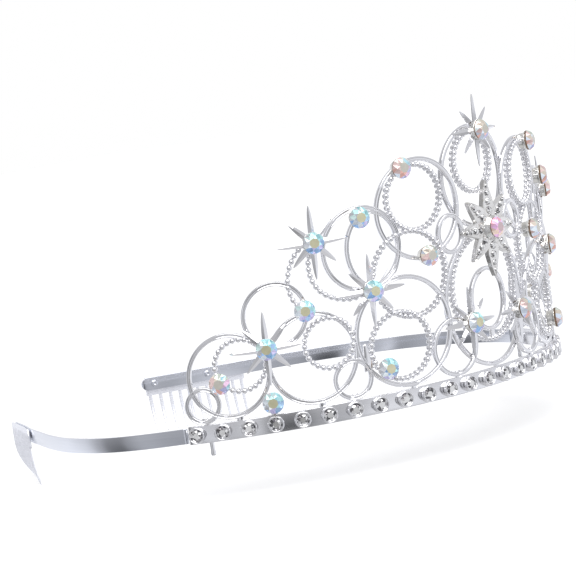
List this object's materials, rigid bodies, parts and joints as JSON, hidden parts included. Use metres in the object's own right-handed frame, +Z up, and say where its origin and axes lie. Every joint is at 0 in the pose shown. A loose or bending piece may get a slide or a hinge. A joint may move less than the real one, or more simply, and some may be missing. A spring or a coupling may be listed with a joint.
{
  "type": "tiara",
  "caption": "Silver tiara of interlocking plain and beaded rings with star castings and iridescent stones on a stone-set band, held by two springy steel arms with combs.",
  "frame": {"origin": "centre of the bounding box in plan, at the height of the comb teeth's tips", "axes": "+Z up as worn, the stone-set front faces -Y, the wearer's right is -X, the steel arms run back towards +Y"},
  "size_m": [0.1484, 0.1612, 0.0879],
  "materials": {
    "silver_plate": "bright silver plate",
    "spring_steel": "fine brushed, half bright",
    "coated_crystal": "cut stone with an iridescent coating"
  },
  "bodies": {
    "front": {"base_band": "silver_plate", "centre_filigree": "silver_plate", "centre_burst": "silver_plate", "star_top": "silver_plate", "right_filigree": "silver_plate", "star_outer_right": "silver_plate", "star_upper_right": "silver_plate", "star_middle_right": "silver_plate", "star_inner_right": "silver_plate", "peg_right": "silver_plate", "left_filigree": "silver_plate", "star_outer_left": "silver_plate", "star_upper_left": "silver_plate", "star_middle_left": "silver_plate", "star_inner_left": "silver_plate", "peg_left": "silver_plate", "stone_star_top": "coated_crystal", "stone_centre": "coated_crystal", "stone_star_outer_right": "coated_crystal", "stone_star_upper_right": "coated_crystal", "stone_star_middle_right": "coated_crystal", "stone_star_inner_right": "coated_crystal", "stone_side_low_right": "coated_crystal", "stone_band_edge_right": "coated_crystal", "stone_side_high_right": "coated_crystal", "stone_wing_low_right": "coated_crystal", "stone_wing_top_right": "coated_crystal", "stone_wing_inner_right": "coated_crystal", "stone_wing_shoulder_right": "coated_crystal", "stone_star_outer_left": "coated_crystal", "stone_star_upper_left": "coated_crystal", "stone_star_middle_left": "coated_crystal", "stone_star_inner_left": "coated_crystal", "stone_side_low_left": "coated_crystal", "stone_band_edge_left": "coated_crystal", "stone_side_high_left": "coated_crystal", "stone_wing_low_left": "coated_crystal", "stone_wing_top_left": "coated_crystal", "stone_wing_inner_left": "coated_crystal", "stone_wing_shoulder_left": "coated_crystal"},
    "right_arm": {"arm_right": "spring_steel", "comb_right": "spring_steel", "rivet_fore_right": "spring_steel", "rivet_rear_right": "spring_steel"},
    "left_arm": {"arm_left": "spring_steel", "comb_left": "spring_steel", "rivet_fore_left": "spring_steel", "rivet_rear_left": "spring_steel"}
  },
  "joints": [
    {"name": "right_arm_flex", "type": "hinge", "parent": "front", "child": "right_arm", "pos_m": [-0.06939, -0.02706, 0.01407], "axis": [0, 0, 1], "range_deg": [-4, 8], "stiffness_Nm_per_rad": 0.3},
    {"name": "left_arm_flex", "type": "hinge", "parent": "front", "child": "left_arm", "pos_m": [0.06907, -0.02706, 0.01407], "axis": [0, 0, -1], "range_deg": [-4, 8], "stiffness_Nm_per_rad": 0.3}
  ]
}
